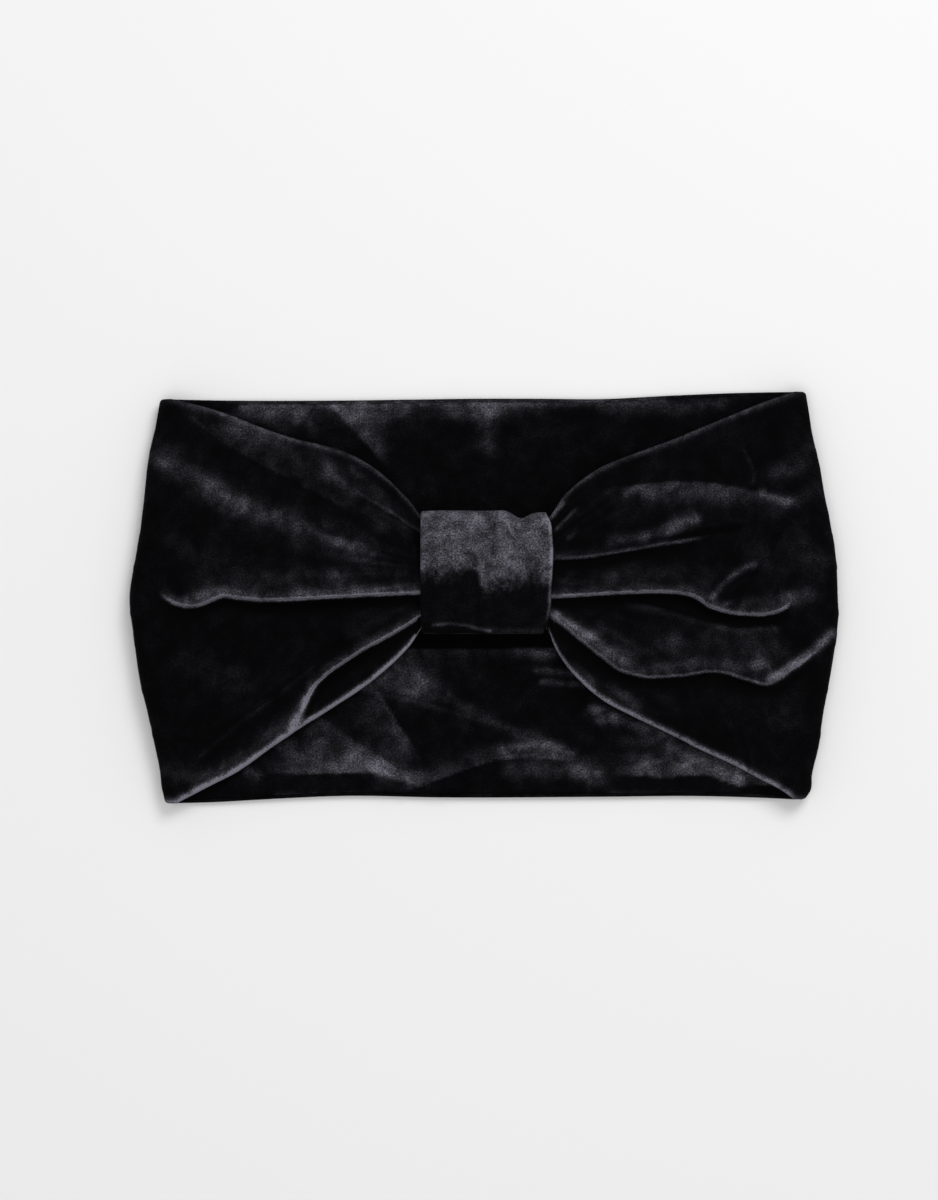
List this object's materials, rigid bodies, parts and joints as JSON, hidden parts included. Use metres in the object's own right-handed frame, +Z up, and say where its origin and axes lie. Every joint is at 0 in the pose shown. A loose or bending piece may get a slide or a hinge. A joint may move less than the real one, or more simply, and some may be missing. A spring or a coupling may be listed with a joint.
{
  "type": "headband",
  "caption": "Wide stretch-velvet headband, a flat loop gathered at the front under a knot loop, lying flat; the front lifts off the back.",
  "frame": {"origin": "under the middle of the flattened loop's back half, on the surface that it lies on", "axes": "+X along the band to the wearer's left as seen from the front of the knot, +Y across its width towards the knot's raised side, +Z up through the knot"},
  "size_m": [0.24, 0.138, 0.0157],
  "materials": {
    "velvet_outside": "black cut-pile stretch velvet, soft lilac-grey sheen",
    "velvet_head_side": "black cut-pile stretch velvet, pile lying the other way",
    "sewing_thread": "black spun polyester thread"
  },
  "bodies": {
    "back": {"back_outer": "velvet_outside", "back_inner": "velvet_head_side", "back_edge_seams": "sewing_thread", "closing_seam": "sewing_thread"},
    "wing_left": {"wing_left_outer": "velvet_outside", "wing_left_inner": "velvet_head_side", "wing_left_seams": "sewing_thread"},
    "wing_right": {"wing_right_outer": "velvet_outside", "wing_right_inner": "velvet_head_side", "wing_right_seams": "sewing_thread"},
    "knot": {"gathered_outer": "velvet_outside", "gathered_inner": "velvet_head_side", "gather_thread": "sewing_thread", "knot_wrap_outer": "velvet_outside", "knot_wrap_inner": "velvet_head_side", "knot_seam": "sewing_thread", "knot_tacks": "sewing_thread"}
  },
  "joints": [
    {"name": "knot_lift", "type": "slide", "parent": "back", "child": "knot", "axis": [0, 0, 1], "range_m": [0, 0.05], "stiffness_N_per_m": 20},
    {"name": "wing_left_fold", "type": "hinge", "parent": "back", "child": "wing_left", "pos_m": [-0.1146, 0, 0.0054], "axis": [0, -1, 0], "range_deg": [0, 33]},
    {"name": "wing_right_fold", "type": "hinge", "parent": "back", "child": "wing_right", "pos_m": [0.1146, 0, 0.0054], "axis": [0, 1, 0], "range_deg": [0, 33]}
  ],
  "couplings": [
    {"joint": "wing_left_fold", "follows": "knot_lift", "rad_per_m": 11.5},
    {"joint": "wing_right_fold", "follows": "knot_lift", "rad_per_m": 11.5}
  ]
}
